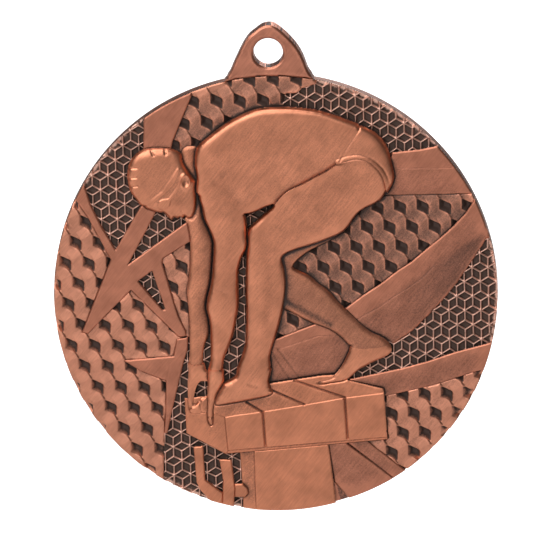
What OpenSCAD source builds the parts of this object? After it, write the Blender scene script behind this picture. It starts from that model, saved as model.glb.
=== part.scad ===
// Finisher medal: a round blank with a lug, and a relief that is divided along its own outlines.
// x runs to the right, z runs up to the lug, and the front looks along -y. The seat of the recess on
// the back lies on y = 0, and the rim round it stands further back.

/* [Blank] */
// Diameter of the disc
disc_d = 50; // [40:1:70]
// Thickness of the plain blank between the recess and the relief
blank_t = 1.4; // [1:0.1:3]
// Width of the flat rim round the recess on the back
back_rim_w = 2.5; // [1:0.1:6]
// Depth of the recess on the back that takes an engraving plate
back_recess = 0.3; // [0:0.05:0.6]

/* [Lug] */
// Diameter of the hole for the ring
lug_hole_d = 3.4; // [2.5:0.1:6]
// Height of the hole's centre above the disc's centre
lug_hole_z = 27.7; // [26:0.1:34]
// Front of the lug above the seat of the recess
lug_t = 1.9; // [1.4:0.1:3]

/* [Relief heights from the seat of the recess] */
// Floor of the lattice and of the pockets between the cubes
floor_h = 1.55; // [1.45:0.05:2]
// Top of the lattice ribs
rib_h = 1.9; // [1.6:0.05:2.5]
// Top of the cubes
cube_h = 2.1; // [1.7:0.05:3]
// Top of the plain bands
band_h = 2.2; // [1.7:0.05:3]
// Top of the starting block
block_h = 2.5; // [2:0.05:3.5]
// Top of the limbs that lie behind
far_h = 2.4; // [2:0.05:3.5]
// Top of the limbs that lie in front
near_h = 2.95; // [2.2:0.05:4]

/* [Pattern sizes] */
// Width of a lattice rib
rib_w = 0.16; // [0.1:0.02:0.4]
// Width of the rounding step along the swimmer's outline
round_w = 0.35; // [0.2:0.05:0.6]
// Pieces that each stretch of a curved outline is drawn in
curve_steps = 3; // [2:1:6]

/* [Hidden] */
$fn = 96;
disc_r = disc_d / 2;
fit_over = 0.5;
round_drop = 0.3;
// Lattice grid: a star point, the step to the next star, and the step to the next row
star_0 = [-12.15, -17.5];
star_u = [1.81, 0];
star_v = [0.905, -1.66];
// Ribs that leave a star, to the right and down
rib_up = [0.905, 0.55];
rib_dn = [0.905, -0.55];
rib_low = [0, -1.11];
window_k = 1 - rib_w / (0.866 * 1.07);

// A smooth closed line through the points: each stretch is a cubic that leans on its neighbours
function cubic(a, b, c, d, t) = 0.5 * (2 * b + (c - a) * t + (2 * a - 5 * b + 4 * c - d) * t * t
  + (3 * b - 3 * c + d - a) * t * t * t);
function smooth(p) = let (n = len(p)) [
  for (i = [0:n - 1]) for (s = [0:curve_steps - 1])
    cubic(p[(i + n - 1) % n], p[i], p[(i + 1) % n], p[(i + 2) % n], s / curve_steps)
];
// Corners of a slanted rhombus about its middle, shrunk by k
function shrunk(p, k) = let (m = (p[0] + p[1] + p[2] + p[3]) / 4) [for (q = p) m + (q - m) * k];

// ---- Outlines of the lug and the blank ----
lug_line = [
  [-4.9, 23.3], [-4.75, 24.8], [-4.35, 25.5], [-3.9, 26.5], [-3.5, 27.3], [-3, 28.3], [-2.5, 29.1],
  [-2, 29.7],
  [-1.4, 30.15], [-0.7, 30.65], [0, 30.85], [0.7, 30.75], [1.6, 30.1], [2.4, 29.3], [3.1, 28.45],
  [3.6, 27.65], [4, 26.75], [4.4, 25.55], [4.9, 24.65], [5.1, 23.1]
];

// ---- Outlines of the swimmer ----
cap_line = [
  [-14.45, 10.45], [-15.45, 11.35], [-16.05, 12.4], [-16.3, 13.9], [-16, 15.5], [-15.1, 16.6],
  [-14, 17.1], [-12, 17.15], [-10.95, 16.9], [-10.15, 16.4], [-10.1, 15.6], [-10.45, 14.6],
  [-11.05, 13.2], [-12.25, 11.9]
];
face_line = [
  [-14.45, 10.5], [-13.65, 9.95], [-12.75, 9.65], [-12.35, 9.7], [-11.95, 9.25], [-11.5, 8.8],
  [-11.15, 9.1], [-10.75, 8.95], [-10.5, 9.1], [-10.2, 8.95], [-10, 9.2], [-9.55, 8.95],
  [-9.1, 9.15], [-8.75, 9.95], [-8.6, 10.95], [-8.65, 12.35], [-8.55, 13.35], [-9.05, 14.35],
  [-9.65, 15.25],
  [-10.05, 16.2], [-11.55, 14.4], [-13.05, 12.4]
];
goggles_line = [
  [-12.95, 10.4], [-12.85, 11.1], [-12.25, 11.4], [-11.75, 11.5], [-10.85, 12.6], [-10.35, 13.7],
  [-10.15, 13.55], [-10.55, 12.4], [-11.35, 11.3], [-11.55, 10.6], [-12.05, 10.15], [-12.65, 10.1]
];
far_shoulder_line = [
  [-10.1, 16.5], [-9.65, 17.1], [-8.95, 17.2], [-8.45, 17.05], [-8.65, 16.15], [-8.7, 15.25],
  [-8.55, 14.25], [-8.5, 13.25], [-8.95, 13.75], [-9.45, 14.45], [-9.95, 15.4]
];
torso_line = [
  [-8.35, 17.1], [-7, 18.35], [-5, 19.8], [-3, 20.85], [-1, 21.45], [1.95, 21.5], [4.95, 21.15],
  [6.95, 20.55], [8.45, 19.95], [10.25, 19], [9.95, 17], [8.45, 14.5], [4.95, 12.3], [1.95, 10.35],
  [-0.05, 10.3],
  [-2.05, 9.5], [-3.25, 9.3], [-5.55, 9.45], [-7.3, 9.6], [-7.95, 10.6], [-8.3, 11.5], [-8.8, 12.2],
  [-8.9, 12.9], [-8.65, 13.85], [-8.65, 15.55]
];
trunks_line = [
  [9.85, 19.15], [11.05, 18.75], [11.95, 18.2], [12.95, 16.95], [13.45, 15.35], [13.8, 13.5],
  [13.6, 12.4],
  [12.9, 11.3], [12.8, 12.45], [12.35, 13.85], [11.15, 15.05], [9.95, 15.5], [8.7, 15.4], [7.35, 14.95],
  [7.55, 15.85], [8.95, 17.9]
];
near_arm_line = [
  [-8.3, 11.35], [-8, 10.2], [-7.8, 8.9], [-7.25, 7.55], [-6.85, 6.3], [-6.85, 5.3], [-7.05, 3],
  [-7.3, 1.25], [-7.7, -0.25], [-7.85, -1.5], [-7.6, -2.75], [-7.5, -4.25], [-7.55, -7.25],
  [-7.85, -8.5], [-7.05, -8.65], [-6.3, -8.55], [-6.05, -7.3], [-5.4, -5.8], [-4.85, -4.3],
  [-4.5, -2.7], [-4.2, -1.05], [-4.2, 0.2], [-4.15, 2.2], [-4, 3.3], [-3.6, 4.45], [-3.1, 5.45],
  [-3.05, 6.7], [-3.05, 8.7], [-3.55, 10.15], [-4.15, 11.15], [-5.45, 12.4], [-6.85, 12.9], [-7.95, 12.45]
];
near_hand_line = [
  [-7.75, -8.15], [-7.95, -9.65], [-8.05, -10.85], [-8.15, -12.15], [-8.2, -13.35], [-8.15, -14.35],
  [-7.85, -15], [-7.55, -14.9], [-7.45, -14.05], [-7.4, -13.05], [-7.15, -11.9], [-6.75, -11.05],
  [-6.25, -10.2], [-6.1, -9.3], [-6.35, -8.3]
];
far_arm_line = [
  [-9.95, 8.95], [-9.65, 8.1], [-9.45, 6.25], [-9.5, 4.3], [-9.7, 2.3], [-10, 0.55], [-9.9, -1.3],
  [-9.85, -5.7], [-10, -7.8], [-9.15, -8.05], [-8.45, -7.85], [-8.45, -7], [-8.2, -5.75],
  [-7.6, -4.35], [-6.9, -1.75], [-6.6, 2.25], [-6.4, 5.85], [-6.9, 8.3],
  [-7.6, 10.2], [-8.2, 11.6], [-8.75, 11.8], [-8.9, 10.4], [-8.9, 9.4]
];
far_hand_line = [
  [-10, -7.6], [-10.1, -8.7], [-10.2, -9.7], [-10.25, -10.9], [-10.25, -12.1], [-10.15, -13.05],
  [-9.85, -13.5], [-9.25, -13.55], [-8.55, -13.45], [-8.05, -13.25], [-8.05, -12.05], [-8.45, -11.7],
  [-8.85, -11.85], [-9.5, -12.55], [-9.65, -12.05], [-9.45, -10.95], [-9.1, -10.15], [-8.65, -9.85],
  [-7.85, -9.85], [-7.75, -8.95], [-8.15, -8.45], [-8.45, -7.65]
];
near_leg_line = [
  [-1.05, 9.2], [-0.05, 10.05], [0.95, 11.25], [1.95, 12.05], [3.45, 12.7], [4.95, 13.5],
  [5.95, 13.95], [7.35, 14.85],
  [8.95, 16], [11.95, 15.45], [13.3, 12.9], [12.5, 10.95], [11.65, 10.2], [10.4, 9.65], [9.4, 8.9],
  [8.15, 7.25], [6.9, 6.5], [4.65, 5.7], [2.9, 5.2], [1.5, 4.7], [0.85, 4.1], [1.1, 2.9], [1.2, 1.1],
  [1, -0.65], [0.6, -2.4], [0.1, -4.15], [-0.4, -5.65], [-0.85, -7.15], [-0.95, -8.7],
  [-2.65, -9.15], [-4.45, -8.5], [-4.15, -7.3], [-3.75, -6.1], [-3.55, -4.85], [-3.4, -1.4], [-3.4, 0.2],
  [-3.3, 2.2], [-3.2, 4.2], [-3, 5.7], [-2.9, 7.4], [-2.1, 8.3]
];
near_foot_line = [
  [-4.25, -8], [-4.75, -9.2], [-5.4, -9.7], [-6.25, -10.2], [-7.05, -11.4], [-7.3, -12.5],
  [-6.75, -12.75], [-5.05, -12.5], [-3.55, -12.25], [-2.15, -12], [-0.95, -11.7], [-0.6, -11.3],
  [-0.9, -10.8], [-1.05, -9.9], [-0.95, -8.2]
];
far_leg_line = [
  [8.2, 7.2], [6.4, 6], [4.9, 5.3], [3.9, 4.8], [2.9, 4.1], [2.05, 3.1], [2.9, 2.5], [3.9, 1.95],
  [4.9, 1.05],
  [5.9, 0.25], [6.85, -0.9], [7.85, -2], [8.85, -3.05], [9.85, -4.1], [10.85, -4.85],
  [11.85, -5.35], [12.55, -6.15],
  [10.85, -6.5], [8.45, -6.35], [7.35, -5.3], [6.35, -4.5], [5.35, -4], [4.25, -3.55], [2.85, -2.85],
  [1.4, -2], [-0.1, -1.1], [-0.6, 2.15], [0.4, 5.35], [2.9, 6.3], [6.9, 7.4]
];
far_foot_line = [
  [12.15, -5.65], [12.85, -6.55], [12.7, -7.15], [12.05, -7.6], [10.85, -8.1], [9.85, -8.6], [8.95, -9.1],
  [7.85, -10.05], [7.1, -10.35], [5.85, -10.5], [4.95, -10.65], [4.45, -10.5], [4.55, -10.2],
  [5.85, -9.95],
  [6.45, -9.45], [7.1, -8.65], [7.6, -7.8], [8.05, -6.85], [8.35, -6.15], [9.85, -5.7]
];

// ---- Outlines of the starting block ----
block_top_line = [
  [-10.65, -11.8], [-8.45, -11.65], [-0.65, -10.3], [2.45, -9.9], [4.85, -9.6], [6.35, -9.55],
  [8.05, -10.25], [11.8, -11.25], [11.85, -11.7], [7.4, -12.15], [2.1, -12.95], [-1.85, -13.5],
  [-5.05, -13.85], [-6.15, -14.05]
];
block_front_line = [
  [-6.15, -14.05], [-5.05, -13.85], [-1.85, -13.5], [2.1, -12.95], [7.4, -12.15], [11.85, -11.7],
  [12.05, -16.75], [-5.9, -17.85]
];
block_end_line = [[-10.65, -11.8], [-6.15, -14.05], [-5.9, -17.85], [-6.2, -18.3], [-10.55, -15.85]];
block_lip_line = [[-5.9, -17.85], [12.05, -16.75], [12.1, -17.1], [-6.2, -18.3]];
pedestal_side_line = [[-4.6, -18.15], [-3, -18.1], [-2.9, -25.9], [-4.3, -25.9]];
pedestal_front_line = [
  [-3, -18.1], [5.4, -17.55], [5.85, -22.05], [5.95, -26.1], [-2.9, -25.9]
];
grip_outer_line = [
  [-9.8, -17.45], [-8.75, -17.35], [-8.65, -21.2], [-6.7, -22.8], [-6.7, -24.35], [-9.2, -22.4],
  [-9.6, -21.5]
];
grip_inner_line = [[-6.95, -18.95], [-5.6, -19], [-5.3, -22.35], [-5.5, -25.35], [-6.7, -25.35],
  [-6.6, -21.35]
];
grip_stub_line = [[-5.4, -21.85], [-4.4, -21.8], [-3.9, -22.3], [-3.8, -22.9], [-4.2, -23.35],
  [-5.4, -23.3]
];

// ---- Outlines of the bands ----
band_behind_head_line = [
  [-13.7, 21.95], [-14.45, 16.65], [-11.35, 16.6], [-11.1, 17.8], [-9.95, 20.45], [-8.8, 23],
  [-8.2, 24.9]
];
star_line = [
  [-22.5, 14.6], [-21, 13.5], [-21.05, 12.5], [-20.55, 10.75], [-19.55, 8.55], [-17.9, 5.5],
  [-14.95, 10.35],
  [-13.55, 11.45], [-12.65, 10.7], [-13.25, 9.7], [-16.55, 3.75], [-10.05, 8.3], [-8.55, 9.1],
  [-8.55, 6.8], [-9.65, 6.15], [-12.6, 4.4], [-12.7, 3.9], [-11.1, -2.25], [-10.3, -4],
  [-10.3, -4.65], [-11.1, -4.7], [-16.3, 0.85], [-21.3, -4.05], [-22, -3.95], [-18.45, 4.4],
  [-20.8, 9.15], [-22.25, 12.1], [-25, 14.65]
];
star_window_line = [[-15.5, 1.85], [-13.85, 3], [-12.5, -1.55], [-12.8, -1.55]];
spike_line = [
  [-11.3, -5], [-11.75, -6.95], [-17.35, -7.3], [-15.55, -8.5], [-13.15, -9.55], [-12.65, -9.7],
  [-12.8, -12.7], [-13.05, -15.8], [-12.75, -15.8], [-12.25, -13.7], [-11.65, -11.45], [-11.15, -9.6],
  [-10.65, -7.7], [-10.15, -6.3], [-10.05, -4.8]
];
band_upper_right_line = [
  [13.65, 15.9], [16.7, 16.15], [19.45, 16.25], [25.9, 16.2], [25.9, 10.55], [22.65, 10.65],
  [17.9, 10.9], [12.5, 10.95], [12.95, 13.95]
];
band_sweep_line = [
  [7.35, -2.25], [9.85, -0.45], [11.85, 0.8], [13.95, 2.35], [15.4, 3.25], [17.3, 4.8], [18.9, 6.05],
  [20.4, 7.35], [21.65, 8.65], [22.7, 10.65], [25.9, 10.55], [25.85, 5.85], [23.95, 5.7], [23.25, 4.6],
  [21.95, 2.7], [20.35, 0.5], [18.85, -1.25], [17.35, -2.8], [15.35, -4.7], [13.25, -6.15],
  [11.85, -6.15], [8.85, -4.05]
];
band_middle_line = [
  [-1.45, -5.75], [-0.25, -5.3], [4.3, -3.65], [5.35, -3], [9.35, -5.3], [8.85, -8.1], [4.85, -10.4],
  [2.45, -10.15], [-1.65, -10.9]
];
band_lower_right_line = [
  [8.05, -10.1], [11.85, -9.4], [13.95, -9], [16.8, -8.3], [19.8, -7.35], [25.8, -5.5],
  [25.8, -9], [22.8, -9.45], [20.7, -10.05], [17.8, -10.95], [14.8, -11.6], [11.8, -12.2],
  [10.8, -12.25], [7.85, -10.85]
];
band_by_pedestal_line = [
  [5.4, -17.35], [7.4, -17.4], [12.45, -21.5], [12.75, -24.2], [8.25, -24.15], [5.9, -21.95]
];
band_bottom_right_line = [[7.4, -17.3], [9.8, -17.25], [14.1, -20.65], [13.75, -22.25], [12.45, -21.5]];

// ---- Loose outlines of the patterned fields: what lies in front is cut out of them ----
cubes_top_area = [
  [-8.2, 24.9], [-8.8, 23], [-9.95, 20.45], [-11.1, 17.8], [-11.35, 16.6], [-10.05, 16],
  [-8.45, 16.35], [-2.05, 19.25], [1.25, 20.2], [1.9, 23],
  [3.1, 23.05], [3.7, 23.55], [5.2, 24], [6, 24.7], [4, 26.15]
];
cubes_left_area = [
  [-26, 12.15], [-22.25, 12.1], [-20.8, 9.15], [-18.45, 4.4], [-22, -3.95], [-21.3, -4.05],
  [-16.3, 0.85], [-11.1, -4.7], [-10.7, -4.7], [-10.9, -5.7], [-11.75, -6.95], [-12.65, -9.7],
  [-12.8, -12.7], [-13.05, -15.8], [-13.1, -22.1], [-26.15, -19.45]
];
cubes_by_arm_area = [
  [-12.6, 4.4], [-9.65, 6.15], [-8.55, 6.8], [-8.7, -4.75], [-10.05, -4.8], [-10.3, -4.65],
  [-10.3, -4], [-11.1, -2.25], [-12.7, 3.9]
];
cubes_right_area = [
  [12.5, 10.95], [17.9, 10.9], [22.65, 10.65], [22.7, 10.65], [21.65, 8.65], [20.4, 7.35],
  [18.9, 6.05], [17.3, 4.8], [15.4, 3.25], [13.95, 2.35], [11.85, 0.8], [9.85, -0.45],
  [7.35, -2.25], [3.9, 0.05],
  [1.3, 3], [5.9, 8.05], [10.9, 10.95]
];
cubes_knee_area = [[0.2, -0.9], [5.35, -3], [4.3, -3.65], [-0.25, -5.3], [-1.15, -3.85]];
cubes_lower_right_area = [
  [11.8, -12.2], [14.8, -11.6], [17.8, -10.95], [20.7, -10.05], [22.8, -9.45], [25.8, -9],
  [21.75, -20.35],
  [14.1, -20.65], [9.8, -17.25], [9.8, -16.95], [12.15, -17.1]
];
lattice_upper_left_area = [
  [-22.5, 14.6], [-21, 13.5], [-21.05, 12.5], [-20.55, 10.75], [-19.55, 8.55], [-17.9, 5.5],
  [-14.95, 10.35], [-13.55, 11.45], [-13, 16.65], [-14.45, 16.65], [-13.7, 21.95], [-14, 23.5]
];
lattice_neck_area = [
  [-16.55, 3.75], [-13.25, 9.7], [-12.65, 10.7], [-9.05, 10.35], [-8.55, 9.1], [-10.05, 8.3]
];
lattice_top_right_area = [
  [0.45, 20.2], [1.9, 23], [3.1, 23.05], [3.7, 23.55], [5.2, 24], [6, 24.7], [23.95, 20.75],
  [25.9, 16.2], [19.45, 16.25], [16.7, 16.15], [13.65, 15.9], [11.95, 14.95], [7.95, 17.05]
];
lattice_right_area = [
  [11.85, -5.6], [13.25, -6.15], [15.35, -4.7], [17.35, -2.8], [18.85, -1.25], [20.35, 0.5], [21.95, 2.7],
  [23.25, 4.6], [23.95, 5.7], [25.85, 5.85], [25.8, -5.5], [19.8, -7.35], [16.8, -8.3], [13.95, -9],
  [11.85, -9.4], [8.05, -10.1], [6.85, -9.55]
];
lattice_lower_left_area = [
  [-10.05, -4.8], [-10.15, -6.3], [-10.65, -7.7], [-11.15, -9.6], [-11.65, -11.45], [-12.25, -13.7],
  [-12.75, -15.8], [-13.05, -15.8], [-13.1, -22.1], [-9.3, -23.8], [-9.25, -15.75], [-9.15, -7.75],
  [-9.1, -4.7]
];
lattice_grips_area = [[-9.25, -15.75], [-9.3, -23.8], [-4, -25.9], [-4, -17.35]];
lattice_between_arms_area = [[-9.7, -3.2], [-6.9, -3.25], [-6.95, -12.6], [-9.75, -12.75]];
lattice_by_shin_area = [
  [-4.6, 6.25], [-2.7, 6.2], [-2.95, -5.85], [-4.15, -10.35], [-7.15, -10.8], [-6.65, -6.75],
  [-5.1, -2.8]
];
lattice_belly_area = [[-3.85, 10.05], [-2.7, 6.8], [0.55, 10.05], [-0.65, 10.6]];

// ---- Flat shapes built from the outlines ----
module disc_clip() {
  intersection() {
    circle(r = disc_r);
    union() {
      children();
    }
  }
}
module cap_shape() polygon(smooth(cap_line));
module head_shape() {
  polygon(smooth(cap_line));
  polygon(smooth(face_line));
}
module near_arm_shape() {
  polygon(smooth(near_arm_line));
  polygon(smooth(near_hand_line));
}
module far_arm_shape() {
  polygon(smooth(far_arm_line));
  polygon(smooth(far_hand_line));
}
module near_leg_shape() {
  polygon(smooth(near_leg_line));
  polygon(smooth(near_foot_line));
}
module far_leg_shape() {
  polygon(smooth(far_leg_line));
  polygon(smooth(far_foot_line));
}
module body_shape() {
  polygon(smooth(torso_line));
  polygon(smooth(trunks_line));
}
module block_shape() {
  polygon(block_top_line);
  polygon(block_front_line);
  polygon(block_end_line);
  polygon(block_lip_line);
}
module grips_shape() {
  polygon(grip_outer_line);
  polygon(grip_inner_line);
  polygon(grip_stub_line);
}

// ---- Relief plates: a flat shape stood up so that its front looks along -y ----
module plate(low, high) {
  rotate([90, 0, 0]) translate([0, 0, low]) linear_extrude(high - low) children();
}
module rounded_plate(top) {
  plate(blank_t, top - round_drop) children();
  plate(top - round_drop, top) offset(delta = -round_w) children();
}
// One dark pocket between cubes: its upper left corner is the grid point
module pocket(p) {
  translate(p) polygon([[0.05, -0.05], [1.4, -0.75], [1.4, -2], [0.05, -1.3]]);
}
// Cubes in rows from grid point p: steps u along a row and v down to the next row
module cube_field(p, u, v, cols, rows) {
  plate(blank_t, floor_h) children();
  plate(floor_h, cube_h) difference() {
    children();
    for (i = cols, j = rows) pocket(p + i * u + j * v);
  }
}
// The three windows that belong to one star point
module windows(s) {
  right = s + star_u;
  below = s + star_v;
  left = s + star_v - star_u;
  polygon(shrunk([s, s + rib_up, right, s + rib_dn], window_k));
  polygon(shrunk([s, s + rib_dn, below, s + rib_low], window_k));
  polygon(shrunk([s, s + rib_low, left, s - rib_up], window_k));
}
// Stars whose centre lies in the box from low to high, with one star to spare on each side
module lattice_field(low, high) {
  plate(blank_t, floor_h) children();
  plate(floor_h, rib_h) difference() {
    children();
    for (j = [-30:4], i = [-6:38]) {
      s = star_0 + i * star_u + j * star_v;
      if (s[0] > low[0] - 1 && s[0] < high[0] + 1 && s[1] > low[1] - 1 && s[1] < high[1] + 1.2)
        windows(s);
    }
  }
}

// ---- The blank: disc, lug, ring hole, and the recess within a flat rim on the back ----
module medal_blank() {
  color("#b5734f") difference() {
    union() {
      translate([0, back_recess, 0]) rotate([90, 0, 0]) cylinder(r = disc_r, h = blank_t + back_recess);
      plate(-back_recess, lug_t) difference() {
        polygon(smooth(lug_line));
        circle(r = disc_r);
      }
    }
    translate([0, back_recess + fit_over, lug_hole_z]) rotate([90, 0, 0])
      cylinder(d = lug_hole_d, h = lug_t + back_recess + 2 * fit_over);
    translate([0, back_recess + fit_over, 0]) rotate([90, 0, 0])
      cylinder(r = disc_r - back_rim_w, h = back_recess + fit_over);
  }
}

// ---- Plain bands ----
module band_behind_head() {
  color("#a9694b") plate(blank_t, band_h) disc_clip() difference() {
    polygon(band_behind_head_line);
    head_shape();
  }
}
module star_bands() {
  color("#c07a56") plate(blank_t, band_h) disc_clip() difference() {
    polygon(star_line);
    polygon(star_window_line);
    head_shape();
    far_arm_shape();
  }
}
module spike_bands() {
  color("#c98460") plate(blank_t, band_h) polygon(spike_line);
}
module band_upper_right() {
  color("#a56a52") plate(blank_t, band_h) disc_clip() difference() {
    polygon(band_upper_right_line);
    body_shape();
  }
}
module band_sweep_right() {
  color("#9c6450") plate(blank_t, band_h) disc_clip() difference() {
    polygon(band_sweep_line);
    far_leg_shape();
  }
}
module band_middle() {
  color("#b0704f") plate(blank_t, band_h - 0.1) difference() {
    polygon(band_middle_line);
    near_leg_shape();
    far_leg_shape();
    block_shape();
  }
}
module band_lower_right() {
  color("#a3674f") plate(blank_t, band_h) disc_clip() difference() {
    polygon(band_lower_right_line);
    block_shape();
  }
}
module band_by_pedestal() {
  color("#a9694b") plate(blank_t, band_h) disc_clip() difference() {
    polygon(band_by_pedestal_line);
    polygon(pedestal_front_line);
    block_shape();
  }
}
module band_bottom_right() {
  color("#94604c") plate(blank_t, band_h - 0.1) disc_clip() difference() {
    polygon(band_bottom_right_line);
    block_shape();
  }
}

// ---- Fields of stepped cubes ----
module cubes_top() {
  color("#b5734f") cube_field([-6.75, 23.35], [2.63, -0.05], [1.47, -2.54], [-2:5], [-1:2]) disc_clip()
    difference() {
      polygon(cubes_top_area);
      head_shape();
      polygon(smooth(far_shoulder_line));
      body_shape();
    }
}
module cubes_left() {
  color("#c98460") cube_field([-24, -4.4], [2.62, -0.12], [1.4, -2.43], [-2:5], [-7:8])
    disc_clip() difference() {
      polygon(cubes_left_area);
      polygon(star_line);
      polygon(spike_line);
    }
}
module cubes_by_arm() {
  color("#b0704f") cube_field([-11.3, 4.35], [2.6, -0.05], [-1.1, -2.35], [-1:1], [0:3]) difference() {
    polygon(cubes_by_arm_area);
    far_arm_shape();
  }
}
module cubes_right() {
  color("#a3674f") cube_field([9.8, 8.35], [2.55, -0.05], [1.3, -2.35], [-3:5], [-1:4]) disc_clip()
    difference() {
      polygon(cubes_right_area);
      near_leg_shape();
      far_leg_shape();
      body_shape();
      polygon(band_sweep_line);
    }
}
module cubes_knee() {
  color("#a3674f") cube_field([1.1, -2.1], [2.6, -0.05], [1.3, -2.35], [0:1], [0:0]) difference() {
    polygon(cubes_knee_area);
    near_leg_shape();
    far_leg_shape();
  }
}
module cubes_lower_right() {
  color("#8f5c49") cube_field([13.05, -15.45], [2.5, -0.05], [1.2, -2.27], [-1:4], [-2:3])
    disc_clip() difference() {
      polygon(cubes_lower_right_area);
      block_shape();
    }
}

// ---- Fields of open lattice ----
module lattice_upper_left() {
  color("#6b4636") lattice_field([-21, 5], [-14, 21]) disc_clip() difference() {
    polygon(lattice_upper_left_area);
    head_shape();
  }
}
module lattice_neck() {
  color("#6b4636") lattice_field([-16.5, 3.3], [-9, 9.5]) difference() {
    polygon(lattice_neck_area);
    head_shape();
    far_arm_shape();
  }
}
module lattice_star_window() {
  color("#6b4636") lattice_field([-15.4, -1.9], [-12.4, 2.6]) polygon(star_window_line);
}
module lattice_top_right() {
  color("#6b4636") lattice_field([1, 16], [19.5, 24.5]) disc_clip() difference() {
    polygon(lattice_top_right_area);
    body_shape();
  }
}
module lattice_right() {
  color("#5f3f33") lattice_field([8, -10], [25, 6]) disc_clip() difference() {
    polygon(lattice_right_area);
    far_leg_shape();
  }
}
module lattice_lower_left() {
  color("#6b4636") lattice_field([-13, -23], [-9, -5]) disc_clip() difference() {
    polygon(lattice_lower_left_area);
    far_arm_shape();
    block_shape();
    grips_shape();
  }
}
module lattice_grips() {
  color("#6b4636") lattice_field([-9.1, -25], [-4, -18]) disc_clip() difference() {
    polygon(lattice_grips_area);
    block_shape();
    grips_shape();
    polygon(pedestal_side_line);
  }
}
module lattice_between_arms() {
  color("#5f3f33") lattice_field([-9.5, -12], [-7, -4]) difference() {
    polygon(lattice_between_arms_area);
    near_arm_shape();
    far_arm_shape();
    block_shape();
  }
}
module lattice_by_shin() {
  color("#5f3f33") lattice_field([-7, -11], [-2.6, 6]) difference() {
    polygon(lattice_by_shin_area);
    near_arm_shape();
    near_leg_shape();
  }
}
module lattice_belly() {
  color("#5f3f33") lattice_field([-3.5, 7], [0.5, 10.4]) difference() {
    polygon(lattice_belly_area);
    near_arm_shape();
    near_leg_shape();
    body_shape();
  }
}

// ---- The swimmer ----
module swim_cap() {
  color("#cd8763") rounded_plate(far_h + 0.2) difference() {
    cap_shape();
    polygon(smooth(goggles_line));
  }
}
module swimmer_face() {
  color("#bf7a58") rounded_plate(far_h) difference() {
    polygon(smooth(face_line));
    cap_shape();
    polygon(smooth(goggles_line));
    polygon(smooth(far_shoulder_line));
  }
}
module goggles() {
  color("#8a5a48") plate(blank_t, far_h + 0.3) polygon(smooth(goggles_line));
}
module far_shoulder() {
  color("#c07a56") rounded_plate(far_h) difference() {
    polygon(smooth(far_shoulder_line));
    cap_shape();
  }
}
module torso() {
  color("#cd8763") rounded_plate(near_h - 0.2) difference() {
    polygon(smooth(torso_line));
    head_shape();
    polygon(smooth(far_shoulder_line));
    near_arm_shape();
    near_leg_shape();
    polygon(smooth(trunks_line));
  }
}
module trunks() {
  color("#b97553") rounded_plate(near_h - 0.1) polygon(smooth(trunks_line));
}
module near_arm() {
  color("#d08a66") rounded_plate(near_h) polygon(smooth(near_arm_line));
}
module near_hand() {
  color("#d29270") rounded_plate(near_h - 0.1) difference() {
    polygon(smooth(near_hand_line));
    polygon(smooth(near_arm_line));
  }
}
module far_arm() {
  color("#c07a56") rounded_plate(far_h) difference() {
    polygon(smooth(far_arm_line));
    near_arm_shape();
    head_shape();
    polygon(smooth(torso_line));
  }
}
module far_hand() {
  color("#c98460") rounded_plate(far_h + 0.1) difference() {
    polygon(smooth(far_hand_line));
    polygon(smooth(far_arm_line));
    near_arm_shape();
  }
}
module near_leg() {
  color("#d08a66") rounded_plate(near_h) difference() {
    polygon(smooth(near_leg_line));
    near_arm_shape();
    polygon(smooth(trunks_line));
  }
}
module near_foot() {
  color("#d29270") rounded_plate(near_h - 0.1) difference() {
    polygon(smooth(near_foot_line));
    polygon(smooth(near_leg_line));
    polygon(smooth(near_hand_line));
  }
}
module far_leg() {
  color("#c07a56") rounded_plate(far_h) difference() {
    polygon(smooth(far_leg_line));
    near_leg_shape();
  }
}
module far_foot() {
  color("#c98460") rounded_plate(far_h) difference() {
    polygon(smooth(far_foot_line));
    polygon(smooth(far_leg_line));
  }
}

// ---- The starting block with its pedestal and grips ----
module block_top() {
  color("#d6967a") plate(blank_t, block_h - 0.2) difference() {
    polygon(block_top_line);
    near_arm_shape();
    far_arm_shape();
    near_leg_shape();
    far_leg_shape();
  }
}
module block_front() {
  color("#b8744f") plate(blank_t, block_h) difference() {
    polygon(block_front_line);
    near_arm_shape();
  }
}
module block_end() {
  color("#aa6c50") plate(blank_t, block_h - 0.1) difference() {
    polygon(block_end_line);
    near_arm_shape();
    far_arm_shape();
  }
}
module block_lip() {
  color("#cd8763") plate(blank_t, block_h - 0.3) polygon(block_lip_line);
}
module pedestal_front() {
  color("#b5734f") plate(blank_t, band_h) disc_clip() difference() {
    polygon(pedestal_front_line);
    block_shape();
  }
}
module pedestal_side() {
  color("#8f5f4b") plate(blank_t, band_h - 0.1) disc_clip() difference() {
    polygon(pedestal_side_line);
    block_shape();
    polygon(grip_stub_line);
  }
}
module grip_outer() {
  color("#c98460") plate(blank_t, far_h) disc_clip() difference() {
    polygon(grip_outer_line);
    polygon(grip_inner_line);
  }
}
module grip_inner() {
  color("#c98460") plate(blank_t, far_h) disc_clip() polygon(grip_inner_line);
}
module grip_stub() {
  color("#bf7a58") plate(blank_t, far_h - 0.1) difference() {
    polygon(grip_stub_line);
    polygon(grip_inner_line);
  }
}

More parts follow.
